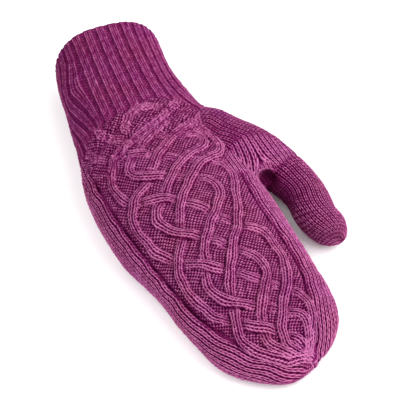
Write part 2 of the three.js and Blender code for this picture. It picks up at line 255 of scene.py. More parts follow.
def plan(along, side):
    """Plan position of a place beside the middle line, before the move to the frame's origin."""
    turn = np.radians(column(SECTIONS, TURN, np.clip(along, 0, LENGTH)))
    x = np.interp(along, LINE_STEPS, LINE_X) + np.cos(turn) * side
    y = np.interp(along, LINE_STEPS, LINE_Y) + np.sin(turn) * side
    return x, y


def section_sizes(along):
    """Half widths and heights of the hand's section at a distance."""
    t = np.clip((along - TIP_ARC_START) / (LENGTH - TIP_ARC_START), 0, 0.9995)
    closing = np.sqrt(1 - t * t)
    outer = column(SECTIONS, OUTER, along) * closing
    inner = column(SECTIONS, INNER, along) * closing
    top = TIP_HEIGHT + (column(SECTIONS, TOP, along) - TIP_HEIGHT) * closing
    bottom = TIP_HEIGHT + (column(SECTIONS, BOTTOM, along) - TIP_HEIGHT) * closing
    return outer, inner, top, bottom


def hand_grid(alongs, fractions):
    """Points of the hand's outer face on a grid of distances and of fractions of the way round.

    Fraction 0 is the middle of the back, negative goes over the little-finger side to the palm.
    Returns the points, the arc distance from the middle of the back, and half of the way round.
    """
    sides = 1440
    angle = np.arange(sides + 1) / sides * 2 * np.pi + np.pi / 2
    across = np.sign(np.cos(angle)) * np.abs(np.cos(angle)) ** SIDE_ROUNDNESS
    rise = np.sin(angle)
    up = np.sign(rise) * np.abs(rise) ** np.where(rise > 0, TOP_ROUNDNESS, PALM_ROUNDNESS)
    points = np.zeros((len(alongs), len(fractions), 3))
    arcs = np.zeros((len(alongs), len(fractions)))
    halves = np.zeros(len(alongs))
    for index, along in enumerate(alongs):
        outer, inner, top, bottom = section_sizes(along)
        widest = bottom + (top - bottom) * WIDEST
        side = across * np.where(across > 0, inner, outer)
        height = np.maximum(widest + up * np.where(up > 0, top - widest, widest - bottom), 0)
        arc = running_sum(np.hypot(np.diff(side), np.diff(height)))
        way = np.where(fractions < 0, -fractions, 1 - fractions) % 1.0 * arc[-1]
        place_side = np.interp(way, arc, side)
        x, y = plan(along, place_side)
        points[index, :, 0] = x
        points[index, :, 1] = y
        points[index, :, 2] = np.interp(way, arc, height)
        arcs[index] = fractions * arc[-1]
        halves[index] = arc[-1] / 2
    return points, arcs, halves


def hand_distance(points):
    """How far points are outside the hand's base shape, roughly, and negative inside.

    Also returns the distance in proportion to the section, the place along the middle line, and the height
    at which the section there is widest.
    """
    line = np.stack([LINE_X, LINE_Y], -1)
    flat = points.reshape(-1, 3)
    along = np.zeros(len(flat))
    for start in range(0, len(flat), CHUNK):
        offset = flat[start:start + CHUNK, None, :2] - line[None]
        along[start:start + CHUNK] = np.argmin((offset ** 2).sum(-1), axis=1)
    turn = np.radians(column(SECTIONS, TURN, along))
    base_x, base_y = plan(along, 0)
    offset_x = flat[:, 0] - base_x
    offset_y = flat[:, 1] - base_y
    side = offset_x * np.cos(turn) + offset_y * np.sin(turn)
    outer, inner, top, bottom = section_sizes(along)
    widest = bottom + (top - bottom) * WIDEST
    rise = flat[:, 2] - widest
    part_across = np.abs(side) / np.where(side > 0, inner, outer)
    part_up = np.abs(rise) / np.where(rise > 0, top - widest, widest - np.minimum(bottom, 0))
    up_power = np.where(rise > 0, 2 / TOP_ROUNDNESS, 2 / PALM_ROUNDNESS)
    proportion = (part_across ** (2 / SIDE_ROUNDNESS) + part_up ** up_power) ** (1 / MEAN_POWER)
    distance = (proportion - 1) * np.hypot(side, rise) / np.maximum(proportion, 0.05)
    shape = points.shape[:-1]
    return distance.reshape(shape), proportion.reshape(shape), along, widest


# ---- stitches

CHANCE_SIZE = 256
STITCH_CHANCE = np.random.default_rng(7).random((CHANCE_SIZE, CHANCE_SIZE))


def waves(points, wavelength, seed, count=7):
    """Soft irregularity between about -1 and 1: waves in chance directions through the space."""
    chance = np.random.default_rng(seed)
    total = np.zeros(points.shape[:-1])
    for _ in range(count):
        direction = chance.normal(size=3)
        direction *= 2 * np.pi / (wavelength * chance.uniform(0.75, 1.4)) / np.linalg.norm(direction)
        total += np.sin(points @ direction + chance.uniform(0, 2 * np.pi))
    return total / math.sqrt(count)


def chance_of(columns, rows):
    """A chance value from 0 to 1 for each stitch."""
    column_number = np.floor(columns).astype(int) % CHANCE_SIZE
    row_number = np.floor(rows).astype(int) % CHANCE_SIZE
    return STITCH_CHANCE[column_number, row_number]


def knit(columns, rows, leg_rows=1.4):
    """Height, 0 to 1, of plain knitting: each stitch is a V of two leaning legs that opens upward."""
    across = np.abs(columns - np.floor(columns) - 0.5)
    leg_width = 0.15
    height = np.zeros(np.broadcast(columns, rows).shape)
    for back in (0, 1):
        t = (rows - np.floor(rows) + back) / leg_rows
        leg_middle = 0.10 + 0.24 * t
        round_leg = np.clip(1 - ((across - leg_middle) / leg_width) ** 2, 0, 1) ** 0.8
        along_leg = np.clip(4 * t * (1 - t), 0, 1) ** 0.5
        height = np.maximum(height, np.where(t < 1, round_leg * along_leg, 0))
    return height


def knit_shade(stitch, luck, groove):
    """Painted light and shade of plain knitting: a painted highlight where a leg of a stitch stands up,
    painted shade where it goes under and between the columns.
    """
    return 0.1 + 1.1 * stitch ** 1.6 + 0.2 * (luck - 0.5) - 0.5 * groove


def plain_height(stitch, luck, groove):
    """Height of plain knitting over the base shape."""
    return PLAIN_RELIEF * stitch * (0.75 + 0.5 * luck) - 0.2 - 0.3 * groove


def between_wales(columns):
    """1 midway between two columns of stitches, 0 elsewhere."""
    return bell(columns - np.round(columns), 0.19)


PURL_HALF_WIDTH = 0.43      # of a bump, in stitches
PURL_HALF_HEIGHT = 0.25


def purl(columns, rows):
    """Height, 0 to 1, of purl knitting: staggered bumps that lie across."""
    height = np.zeros(np.broadcast(columns, rows).shape)
    for shift_column, shift_row in ((0.0, 0.25), (0.5, 0.75)):
        across = (columns + shift_column) % 1.0 - 0.5
        along = (rows + shift_row) % 1.0 - 0.5
        curved_along = along + 0.6 * across ** 2
        bump = 1 - (across / PURL_HALF_WIDTH) ** 2 - (curved_along / PURL_HALF_HEIGHT) ** 2
        height = np.maximum(height, np.sqrt(np.clip(bump, 0, 1)))
    return height


def rib_height(arcs, around, alongs, wobble, fuzz):
    """Height and shade of the ribbed cuff: two knit columns stand up, one purl column is a groove. Each
    rib's crest gets a painted highlight and the groove painted shade.
    """
    outer_side = ramp(arcs, -20, -38) * ramp(arcs, -85, -60)
    inner_side = ramp(arcs, 18, 34) * ramp(arcs, 85, 60)
    sway = column(OUTER_SWAY, 1, alongs) * outer_side + column(INNER_SWAY, 1, alongs) * inner_side
    columns = (arcs - sway) / around * RIB_COUNT * RIB_STITCHES + RIB_PHASE + 0.035 * wobble
    rows = alongs / ROW
    in_rib = columns % RIB_STITCHES
    from_groove = np.abs(in_rib - RIB_GROOVE)
    from_groove = np.minimum(from_groove, RIB_STITCHES - from_groove)
    groove = ramp(from_groove, 0.68, 0.28)
    crest = bell(from_groove - RIB_CREST, 0.19)
    luck = chance_of(columns, rows)
    knitted = knit(columns, rows)
    purled = purl(columns, rows)
    height = 0.55 * knitted * (1 - groove) + 0.35 * purled * groove
    height = height + (0.4 + 0.1 * wobble) * crest * (1 - 0.5 * groove) - RIB_DEPTH * groove + 0.1 * fuzz
    # painted highlight along each rib's crest
    crest_highlight = (0.1 + 0.04 * wobble) * crest
    rib_shade = 0.28 + 0.38 * knitted + crest_highlight + 0.12 * (luck - 0.5)
    groove_shade = 0.24 + 0.34 * purled + crest_highlight
    return height, rib_shade * (1 - groove) + groove_shade * groove + 0.06 * fuzz


# ---- the braid

class Strand:
    """One cable strand: a smooth route over the panel, with its level above or below its neighbours."""

    def __init__(self, places, is_outer):
        self.is_outer = is_outer
        self.route = self.smooth_route(np.array(places))
        self.distance = running_sum(np.linalg.norm(np.diff(self.route, axis=0), axis=1))
        self.tangent = unit(np.gradient(self.route, axis=0))
        self.level = np.zeros(len(self.route))

    @staticmethod
    def smooth_route(places, step=0.6):
        """Catmull-Rom curve through the places, with a point about every step."""
        padded = np.concatenate([[2 * places[0] - places[1]], places, [2 * places[-1] - places[-2]]])
        points = []
        for a, b, c, d in zip(padded, padded[1:], padded[2:], padded[3:]):
            count = max(2, int(np.linalg.norm(c - b) / step))
            bend = 2 * a - 5 * b + 4 * c - d
            twist = 3 * b - a - 3 * c + d
            for t in np.arange(count) / count:
                points.append(0.5 * (2 * b + (c - a) * t + bend * t ** 2 + twist * t ** 3))
        points.append(places[-1])
        return np.array(points)


def crossings(first, second):
    """Where two strands' routes cross: index along each."""
    p = first.route[:-1, None]
    r = np.diff(first.route, axis=0)[:, None]
    q = second.route[None, :-1]
    s = np.diff(second.route, axis=0)[None]
    cross = r[..., 0] * s[..., 1] - r[..., 1] * s[..., 0]
    cross = np.where(np.abs(cross) < 1e-9, 1e-9, cross)
    gap = q - p
    t = (gap[..., 0] * s[..., 1] - gap[..., 1] * s[..., 0]) / cross
    u = (gap[..., 0] * r[..., 1] - gap[..., 1] * r[..., 0]) / cross
    return np.argwhere((t >= 0) & (t < 1) & (u >= 0) & (u < 1))


def passes_over(first, i, second, j):
    """Whether the first strand is on top: strands that run toward the little finger are, but at that
    edge only where both are outer strands."""
    first_runs_out = first.tangent[i][0] < second.tangent[j][0]
    runs_out = first if first_runs_out else second
    other = second if first_runs_out else first
    at_edge = first.route[i][0] < OVER_SIDE
    out_on_top = not at_edge or (runs_out.is_outer and other.is_outer)
    return out_on_top == first_runs_out


def set_levels(strands):
    """Lifts and dips each strand where it crosses another."""
    for a, first in enumerate(strands):
        for second in strands[a + 1:]:
            for i, j in crossings(first, second):
                first_x, first_y = first.tangent[i]
                second_x, second_y = second.tangent[j]
                sine = abs(first_x * second_y - first_y * second_x)
                reach = STRAND_WIDTH / 2 / max(sine, 0.5) + STRAND_CLEAR
                first_over = passes_over(first, i, second, j)
                for strand, index, over in ((first, i, first_over), (second, j, not first_over)):
                    away = (strand.distance - strand.distance[index]) / reach
                    strand.level += np.exp(-away ** 4) * (STRAND_LIFT if over else -STRAND_DIP)
    for strand in strands:
        strand.level = np.clip(strand.level, -STRAND_DIP - 0.4, STRAND_LIFT * 1.5)


def strand_places(strand, arcs, alongs, reach):
    """Where each of the grid's points within reach of a strand lies from it.

    Arcs is (rows, columns), and alongs is (rows,). Returns the squared distance from the strand, the places
    to its side and along it, and the strand's level there.
    """
    chunk = 8
    best = np.full(arcs.shape, np.inf)
    side = np.zeros(arcs.shape)
    run = np.zeros(arcs.shape)
    level = np.zeros(arcs.shape)
    for start in range(0, len(strand.route), chunk):
        points = strand.route[start:start + chunk]
        low = points.min(0) - reach
        high = points.max(0) + reach
        first_row, last_row = np.searchsorted(alongs, (low[1], high[1]))
        if first_row >= last_row:
            continue
        block = arcs[first_row:last_row]
        rows, columns = np.nonzero((block > low[0]) & (block < high[0]))
        if len(rows) == 0:
            continue
        place = np.stack([block[rows, columns], alongs[first_row + rows]], -1)
        offsets = place[:, None] - points[None]
        distances = (offsets ** 2).sum(-1)
        near = np.argmin(distances, axis=1)
        pick = np.arange(len(near))
        offset = offsets[pick, near]
        tangent = strand.tangent[start + near]
        ahead = (offset * tangent).sum(-1)
        sideways = offset[:, 0] * tangent[:, 1] - offset[:, 1] * tangent[:, 0]
        found = distances[pick, near]
        where = (first_row + rows, columns)
        closer = found < best[where]
        where = (where[0][closer], where[1][closer])
        best[where] = found[closer]
        side[where] = sideways[closer]
        run[where] = strand.distance[start + near][closer] + ahead[closer]
        level[where] = strand.level[start + near][closer]
    return best, side, run, level


def add_strand(strand, arcs, alongs, jitter, height, shade):
    """Raises a strand on the panel's height field. It is flatter and looser near the wrist. Painted shade
    darkens the groove beside it, its edges, and where it dips under another strand.
    """
    half = STRAND_WIDTH / 2
    reach = half + 2.2
    best, side, run, level = strand_places(strand, arcs, alongs, reach)
    near_strand = best < reach ** 2
    across = np.abs(side) / half
    inside = near_strand & (across < 1)
    tight = ramp(alongs, 90, 135)[:, None]
    rise = STRAND_RISE * (0.24 + 0.76 * tight)
    crown = rise * np.clip(1 - across ** 2, 0, 1) ** 0.9
    column_width = STRAND_WIDTH * 0.94 / STRAND_COLUMNS
    columns = (side + jitter[0]) / column_width + STRAND_COLUMNS / 2
    rows = (run + jitter[1]) / STRAND_ROW
    knitted = knit(columns, rows)
    luck = chance_of(columns, rows)
    stitches = 1.1 * knitted * (0.75 + 0.5 * luck) * (0.6 + 0.4 * tight)
    raised = crown + level + stitches - 0.4
    depth = np.clip(1 + level / STRAND_DIP, 0, 1)
    beside = np.where(near_strand & ~inside, bell((across - 1) * half, 1), 0) * depth
    height -= 0.4 * beside
    # painted shade in the groove beside the strand
    shade *= 1 - 0.2 * beside
    top = inside & (raised > height)
    height[top] = raised[top]
    # painted shade at the strand's edges and where it dips under another strand
    edge_shade = 1 - 0.15 * ramp(across, 0.8, 1)
    strand_shade = 0.23 - 0.15 * tight + (0.65 + 0.3 * tight) * knitted + 0.25 * (luck - 0.5)
    strand_shade = strand_shade * edge_shade * (0.75 + 0.25 * depth)
    shade[top] = strand_shade[top]
    return height, shade


# ---- the hand's height field

def plain_parts(arcs, along, left, right, half, wander, drift):
    """Height and shade of the palm's and the side bands' plain knitting."""
    palm_margin = 2
    palm_half = (right - left) / 2 + palm_margin
    from_palm_middle = np.sign(arcs) * (half - np.abs(arcs))
    on_palm = np.abs(from_palm_middle) < palm_half
    from_edge = np.where(arcs < left, left - arcs, arcs - right)
    columns = np.where(on_palm, from_palm_middle / WALE, from_edge / BAND_WALE) + wander
    rows = np.where(on_palm, along / ROW, along / BAND_ROW) + drift
    stitch = knit(columns, rows)
    luck = chance_of(columns, rows)
    groove = between_wales(columns)
    palm_edge = bell(np.abs(from_palm_middle) - palm_half, 1)
    return plain_height(stitch, luck, groove) - 0.4 * palm_edge, 0.08 + knit_shade(stitch, luck, groove)


def panel_ground(arcs, along, wander, drift, jitter, loose):
    """Height and shade of the purl ground behind the braid, with painted shade in the pits between its
    bumps.
    """
    columns = arcs / WALE + wander
    rows = along / ROW + drift
    stitch = purl(columns + jitter[0] / WALE, rows + jitter[1] / ROW)
    luck = chance_of(columns, rows)
    height = 1.2 * stitch * (0.7 + 0.6 * luck) + GROUND * (1 - 0.5 * loose)
    return height, 0.88 * stitch + 0.2 * (luck - 0.5)


def edge_folds(arcs, along, left, right, height, shade):
    """The folds along the panel's edges, with painted shade in them, and the bands' full shoulders beside
    them.
    """
    fold_width = 1.3
    outer_fold = ramp(along, 95, 110)
    inner_fold = ramp(along, 128, 146)
    for outward, strength in ((left - arcs, outer_fold), (arcs - right, inner_fold)):
        fold = strength * bell(outward, fold_width)
        shoulder = ramp(outward, 0.5, 4) * ramp(outward, 16, 4)
        height = height - VALLEY * fold + 0.5 * shoulder
        # painted shade in the crease of the fold
        shade = shade * (1 - 0.6 * fold)
    return height, shade


def shape_ends(arcs, along, height):
    """Rounds off the cuff's edge and draws in the fingertip."""
    rim = np.clip(1 - along / RIM, 0, 1)
    height = height * (1 - 0.75 * rim) - RIM_DROP * (1 - np.sqrt(1 - rim ** 2 * 0.98))
    drawn_in = bell(arcs - TIP_POINT[0], 9) * bell(along - TIP_POINT[1], 8)
    full = bell(arcs - TIP_LOBE[0], 14) * bell(along - TIP_LOBE[1], 12)
    return height - TIP_PULL * drawn_in + TIP_FULLNESS * full


def hand_heights(points, arcs, alongs, halves):
    """Height of the knitting over the hand's base shape, and its shade from 0, dark, to 1, pale."""
    along = np.broadcast_to(alongs[:, None], arcs.shape)
    half = halves[:, None]
    wander = 0.16 * waves(points, 16, 3)
    drift = 0.18 * waves(points, 21, 4)
    loose = ramp(along, 120, 95)
    looseness = 0.2 + 0.35 * loose
    jitter = (looseness * waves(points, 7, 21), looseness * waves(points, 8, 22))
    strand_arcs = arcs + 0.45 * waves(points, 15, 23)

    left = column(PANEL_EDGES, OUTER, along)
    right = column(PANEL_EDGES, INNER, along)
    on_panel = (arcs > left) & (arcs < right)
    plain, plain_shade = plain_parts(arcs, along, left, right, half, wander, drift)
    ground, ground_shade = panel_ground(arcs, along, wander, drift, jitter, loose)
    height = np.where(on_panel, ground, plain)
    shade = np.where(on_panel, ground_shade, plain_shade)
    height, shade = edge_folds(arcs, along, left, right, height, shade)

    strands = [Strand(places, True) for places in OUTER_STRANDS]
    strands += [Strand(places, False) for places in INNER_STRANDS]
    set_levels(strands)
    for strand in strands:
        height, shade = add_strand(strand, strand_arcs, alongs, jitter, height, shade)
    fuzz = waves(points, 1.9, 24, 12)
    height = height + (0.05 + 0.2 * loose) * fuzz
    shade = shade * (1 - 0.1 * loose) + (0.03 + 0.09 * loose) * fuzz

    ribs, rib_shade = rib_height(arcs, 2 * half, along, waves(points, 9, 25), fuzz)
    rib_end = np.interp(arcs, RIB_ENDS[:, 0], RIB_ENDS[:, 1])
    rib_part = ramp(along - rib_end, 2.5, -2.5)
    height = height * (1 - rib_part) + ribs * rib_part
    shade = shade * (1 - rib_part) + rib_shade * rib_part
    # painted shade: the little-finger side is made darker, as if turned away from the light
    outer_side = ramp(arcs, -14, -30) * ramp(along, 175, 135)
    shade = shade * (1 - OUTER_PAINTED_SHADE * outer_side)
    return shape_ends(arcs, along, height), np.clip(shade, 0, 1)


def normals_of(points):
    """Normals of a grid of points that closes on itself around."""
    along = np.gradient(points, axis=0)
    around = (np.roll(points, -1, axis=1) - np.roll(points, 1, axis=1)) / 2
    return unit(np.cross(along, around))


# ---- the thumb's base shape

def thumb_axis(fractions):
    """Points, radii and distance of the thumb's axis at fractions of its length."""
    x, y = plan(THUMB_STATIONS[:, 0], THUMB_STATIONS[:, 1])
    places = np.stack([x, y, THUMB_STATIONS[:, 2], THUMB_STATIONS[:, 3]], -1)
    distance = running_sum(np.linalg.norm(np.diff(places[:, :3], axis=0), axis=1))
    table = np.concatenate([distance[:, None], places], axis=1)
    length = distance[-1]
    x, y, z, radius = [column(table, index, fractions * length) for index in (1, 2, 3, 4)]
    centre = np.stack([x, y, z], -1)
    t = np.clip((fractions - THUMB_ARC_START) / (1 - THUMB_ARC_START), 0, 0.9998)
    radius = radius * np.sqrt(1 - t * t)
    return centre, radius, length


def thumb_distance(points):
    """How far points are outside the thumb's base shape, roughly, and negative inside."""
    axis_points = 160
    centre, radius, _ = thumb_axis(np.linspace(0, 0.995, axis_points))
    flat = points.reshape(-1, 3)
    distance = np.zeros(len(flat))
    for start in range(0, len(flat), CHUNK):
        offset = flat[start:start + CHUNK, None] - centre[None]
        offset[..., 2] /= THUMB_FLATTENING
        away = np.linalg.norm(offset, axis=-1) - radius[None]
        distance[start:start + CHUNK] = away.min(1)
    return distance.reshape(points.shape[:-1])


def thumb_grid(fractions, turns):
    """Points of the thumb's outer face. Turn 0 points away from the hand."""
    centre, radius, length = thumb_axis(fractions)
    tangent = np.gradient(centre, axis=0)
    across = unit(np.stack([-tangent[:, 1], tangent[:, 0], np.zeros(len(tangent))], -1))
    angle = turns * 2 * np.pi
    points = centre[:, None] + across[:, None] * (radius[:, None] * np.cos(angle))[..., None]
    points[..., 2] += radius[:, None] * THUMB_FLATTENING * np.sin(angle)
    points[..., 2] = np.maximum(points[..., 2], 0)
    return points, radius, length


def gather(points, height, shade):
    """The hollow between thumb and hand, and the columns of stitches that part around it.

    The columns run like the lines of a stream around a post that stands in the hollow.
    """
    x, y = plan(PIT[0], PIT[1])
    offset = points - np.array([x, y, PIT[2]])
    away = np.linalg.norm(offset, axis=-1)
    plan_away = np.maximum(np.hypot(offset[..., 0], offset[..., 1]), 1)
    turning = np.minimum((PARTING / plan_away) ** 2, 1)
    columns = offset[..., 0] * (1 - turning) / BAND_WALE
    rows = offset[..., 1] * (1 + turning) / BAND_ROW
    stitch = knit(columns, rows)
    luck = chance_of(columns, rows)
    groove = between_wales(columns)
    toward_wrist = offset[..., 1] / plan_away
    part = ramp(plan_away, PARTING, PARTING + 2) * ramp(plan_away, PARTING_REACH, PARTING_REACH - 8)
    part *= ramp(toward_wrist, -0.1, 0.4)
    height = height * (1 - part) + plain_height(stitch, luck, groove) * part
    # painted light: the parted columns are made paler
    shade = shade * (1 - part) + (knit_shade(stitch, luck, 0.7 * groove) + PARTING_PAINTED_LIGHT) * part
    # painted highlights on the brow above the hollow and on its rim, painted shade inside the hollow
    brow = bell(plan_away - PARTING, 2.2) * ramp(toward_wrist, 1 / 3, 2 / 3)
    pit = np.exp(-(away / PIT_RADIUS) ** 3)
    rim = bell(away - PIT_RIM, 0.9) * ramp(toward_wrist, -0.3, 0.2)
    height = height - PIT_DEPTH * pit + 0.6 * rim + 0.3 * brow
    return height, (shade + 0.3 * brow) * (1 - 0.4 * pit) * (1 - 0.6 * rim) + 0.55 * rim


def web_lift(distance):
    """How far a surface stands out to run smoothly into another one at this distance."""
    return WEB / 4 * np.clip(1 - np.abs(distance) / WEB, 0, 1) ** 2


# ---- meshes

def add_object(name, data):
    """A new object in the scene."""
    item = bpy.data.objects.new(name, data)
    bpy.context.scene.collection.objects.link(item)
    return item


def make_mesh(name, points, faces, material, shade, is_rim_point=None):
    """A mesh object from points in millimetres, with the painted shade of each point as an attribute."""
    mesh = bpy.data.meshes.new(name)
    mesh.vertices.add(len(points))
    mesh.vertices.foreach_set("co", (points * MM).astype(np.float32).ravel())
    loops = np.concatenate([group.ravel() for group in faces])
    totals = np.concatenate([np.full(len(group), group.shape[1]) for group in faces])
    mesh.loops.add(len(loops))
    mesh.loops.foreach_set("vertex_index", loops.astype(np.int32))
    mesh.polygons.add(len(totals))
    loop_starts = np.cumsum(totals) - totals
    mesh.polygons.foreach_set("loop_start", loop_starts.astype(np.int32))
    mesh.polygons.foreach_set("loop_total", totals.astype(np.int32))
    mesh.polygons.foreach_set("use_smooth", np.ones(len(totals), dtype=bool))
    mesh.update(calc_edges=True)
    # lift holds the painted light and shade of each point, which the wool's colour ramp reads
    attribute = mesh.attributes.new("lift", "FLOAT", "POINT")
    attribute.data.foreach_set("value", shade.astype(np.float32).ravel())
    if is_rim_point is not None:
        mark_sharp(mesh, is_rim_point)
    mesh.materials.append(material)
    return add_object(name, mesh)


def mark_sharp(mesh, is_rim_point):
    """Makes the edges between two rim points sharp, so that a rim doesn't bend the light on the face."""
    ends = np.zeros(len(mesh.edges) * 2, dtype=np.int32)
    mesh.edges.foreach_get("vertices", ends)
    ends = ends.reshape(-1, 2)
    sharp = is_rim_point[ends[:, 0]] & is_rim_point[ends[:, 1]]
    layer = mesh.attributes.new("sharp_edge", "BOOLEAN", "EDGE")
    layer.data.foreach_set("value", sharp)


def tube_faces(index, flip):
    """Quads of a grid of point numbers that closes on itself around."""
    right = np.roll(index, -1, axis=1)
    quads = np.stack([index[:-1], index[1:], right[1:], right[:-1]], -1).reshape(-1, 4)
    return quads[:, ::-1] if flip else quads


def fan_faces(ring, middle):
    """Triangles between a ring of point numbers and a middle point."""
    return np.stack([np.full(len(ring), middle), ring, np.roll(ring, -1)], -1)


def rim_faces(outer_ring, inner_ring, flip):
    """Faces between an outer ring and an inner ring that has fewer points."""
    ratio = len(outer_ring) // len(inner_ring)
    outer = np.concatenate([outer_ring, outer_ring[:1]])
    faces = []
    for k in range(len(inner_ring)):
        span = outer[k * ratio:(k + 1) * ratio + 1]
        face = np.concatenate([[inner_ring[(k + 1) % len(inner_ring)], inner_ring[k]], span])
        faces.append(face[::-1] if flip else face)
    return np.array(faces)


def wall_piece(name, outer, inner, shade, material):
    """A closed stretch of the hand's knitted tube, from its outer and its coarser inner grid of points."""
    points = np.concatenate([outer.reshape(-1, 3), inner.reshape(-1, 3)])
    outer_index = np.arange(shade.size).reshape(shade.shape)
    inner_index = np.arange(shade.size, len(points)).reshape(inner.shape[:2])
    faces = [
        tube_faces(outer_index, False),
        tube_faces(inner_index, True),
        rim_faces(outer_index[0], inner_index[0], True),
        rim_faces(outer_index[-1], inner_index[-1], False),
    ]
    is_rim = np.zeros(len(points), dtype=bool)
    for index in (outer_index, inner_index):
        is_rim[index[[0, -1]]] = True
    shades = np.concatenate([shade.ravel(), np.full(inner_index.size, HIDDEN_SHADE)])
    return make_mesh(name, points, faces, material, shades, is_rim)


# ---- materials

def node(tree, kind, **values):
    """A new shader node with its settings."""
    item = tree.nodes.new(kind)
    for key, value in values.items():
        setattr(item, key, value)
    return item


def set_inputs(item, values):
    """Sets a shader node's inputs by name."""
    for key, value in values.items():
        item.inputs[key].default_value = value


def noise(tree, place, scale, detail):
    """A noise texture over the object."""
    item = node(tree, "ShaderNodeTexNoise")
    set_inputs(item, {"Scale": scale, "Detail": detail})
    tree.links.new(place.outputs["Object"], item.inputs["Vector"])
    return item.outputs["Fac"]


def map_range(tree, value, limits):
    """A value mapped from one range to another."""
    item = node(tree, "ShaderNodeMapRange")
    set_inputs(item, limits)
    tree.links.new(value, item.inputs["Value"])
    return item.outputs["Result"]


def shade_ramp(tree):
    """The yarn's colour from its painted shade: near black where shade is painted between the stitches, pale
    pink where highlights are painted on top of them.
    """
    lift = node(tree, "ShaderNodeAttribute", attribute_name="lift")
    colours = node(tree, "ShaderNodeValToRGB")
    dark, pale = colours.color_ramp.elements
    dark.position = 0.05
    dark.color = (0.052, 0.0, 0.022, 1)
    pale.position = 0.92
    pale.color = (0.61, 0.185, 0.395, 1)
    middle = colours.color_ramp.elements.new(0.45)
    middle.color = (0.19, 0.011, 0.100, 1)
    tree.links.new(lift.outputs["Fac"], colours.inputs["Fac"])
    return colours.outputs["Color"]


def wool_material():
    """Soft heathered wool yarn with fine fibres, its colour darkened by painted shade between the stitches
    and lightened by painted highlights where they stand up.
    """
    material = bpy.data.materials.new("wool")
    material.use_nodes = True
    tree = material.node_tree
    shader = tree.nodes["Principled BSDF"]
    link = tree.links.new
    place = node(tree, "ShaderNodeTexCoord")

    tint = node(tree, "ShaderNodeHueSaturation")
    link(shade_ramp(tree), tint.inputs["Color"])
    heather = noise(tree, place, scale=800, detail=3)
    value_limits = {"From Min": 0.3, "From Max": 0.7, "To Min": 0.8, "To Max": 1.2}
    link(map_range(tree, heather, value_limits), tint.inputs["Value"])
    patches = noise(tree, place, scale=45, detail=2)
    hue_limits = {"To Min": 0.475, "To Max": 0.525}
    link(map_range(tree, patches, hue_limits), tint.inputs["Hue"])
    link(tint.outputs["Color"], shader.inputs["Base Color"])

    bump = node(tree, "ShaderNodeBump")
    set_inputs(bump, {"Strength": 0.62, "Distance": 0.0003})
    fibres = noise(tree, place, scale=2600, detail=4)
    link(fibres, bump.inputs["Height"])
    link(bump.outputs["Normal"], shader.inputs["Normal"])

    set_inputs(shader, {"Roughness": 0.9, "Sheen Weight": 0.02, "Sheen Roughness": 0.5,
                        "Sheen Tint": (1.0, 0.7, 0.88, 1), "Specular IOR Level": 0.04})
    return material


def floor_material():
    """Plain pale matt floor."""
    material = bpy.data.materials.new("floor")
    material.use_nodes = True
    set_inputs(material.node_tree.nodes["Principled BSDF"], {
        "Base Color": (0.96, 0.96, 0.96, 1),
        "Roughness": 0.8,
        "Emission Color": (1, 1, 1, 1),
        "Emission Strength": 0.04,
    })
    return material


# ---- building the mitten

def fractions_around():
    """Fractions of the way round for the mesh's columns: close on the back, wider apart on the palm."""
    back_half = 0.29
    way_round = 236.0
    back_part = 2 * back_half
    palm_part = 1 - back_part
    back_count = int(back_part * way_round / MESH_STEP / INNER_RATIO) * INNER_RATIO
    palm_count = int(palm_part * way_round / PALM_STEP / INNER_RATIO) * INNER_RATIO
    back = -back_half + np.arange(back_count) / back_count * back_part
    palm = back_half + np.arange(palm_count) / palm_count * palm_part
    palm = np.where(palm > 0.5, palm - 1, palm)
    return np.concatenate([back, palm])


# Where the tube is cut into pieces; the wrist and knuckle pieces lie between the cuff, hand and finger
# pieces.
CUTS = (0.0, 53.0, 118.0, 148.0, 208.0, LENGTH)

# The tube's pieces, with the CAD nodes that each one replaces.
PIECES = (
    ("ribbed_cuff_knit", ("cast_on_edge", "ribbed_cuff")),
    ("wrist_knit", ("wrist_gather",)),
    ("hand_knit", ("cabled_back_panel", "palm_panel", "outer_side_band", "inner_side_band")),
    ("knuckle_knit", ("knuckle_band",)),
    ("finger_knit", ("finger_back_panel", "finger_palm_panel", "finger_outer_band", "finger_inner_band",
                     "fingertip_closure")),
)


def row_places():
    """Distances of the mesh's rows, with a row at each cut, and the row number of each cut."""
    places = []
    cut_rows = [0]
    for start, end in zip(CUTS[:-1], CUTS[1:]):
        count = int(round((end - start) / MESH_STEP / INNER_RATIO)) * INNER_RATIO
        if end < LENGTH:
            part = start + (end - start) * np.arange(count) / count
        else:
            t = np.arange(count + 1) / count
            closer_at_tip = 1 - (1 - t) ** 1.6
            part = start + (end - start) * (0.45 * t + 0.55 * closer_at_tip)
        places.append(part)
        cut_rows.append(cut_rows[-1] + count)
    return np.minimum(np.concatenate(places), LENGTH - 0.02), cut_rows


def build_hand(move, wool):
    """The five stretches of the hand's tube."""
    fractions = fractions_around()
    alongs, cut_rows = row_places()
    points, arcs, halves = hand_grid(alongs, fractions)
    normals = normals_of(points)
    height, shade = hand_heights(points, arcs, alongs, halves)
    points[..., 2] = np.maximum(points[..., 2], PALM_HEIGHT)
    height, shade = gather(points, height, shade)
    sag = 0.45 * waves(points, 38, 11)
    lift = web_lift(thumb_distance(points))
    outer = points + normals * (height + sag + lift)[..., None]
    outer[..., 2] = np.maximum(outer[..., 2], FLOOR_GAP)
    inner = points - normals * INNER_DEPTH
    inner[..., 2] = np.maximum(inner[..., 2], FLOOR_GAP + INNER_DEPTH)
    inner = inner[:, ::INNER_RATIO]

    pieces = {}
    for (name, replaced), start, end in zip(PIECES, cut_rows[:-1], cut_rows[1:]):
        rows = slice(start, end + 1)
        inner_part = inner[start:end + 1:INNER_RATIO]
        piece = wall_piece(name, outer[rows] + move, inner_part + move, shade[rows], wool)
        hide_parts(*replaced)
        pieces[name] = piece
    return pieces


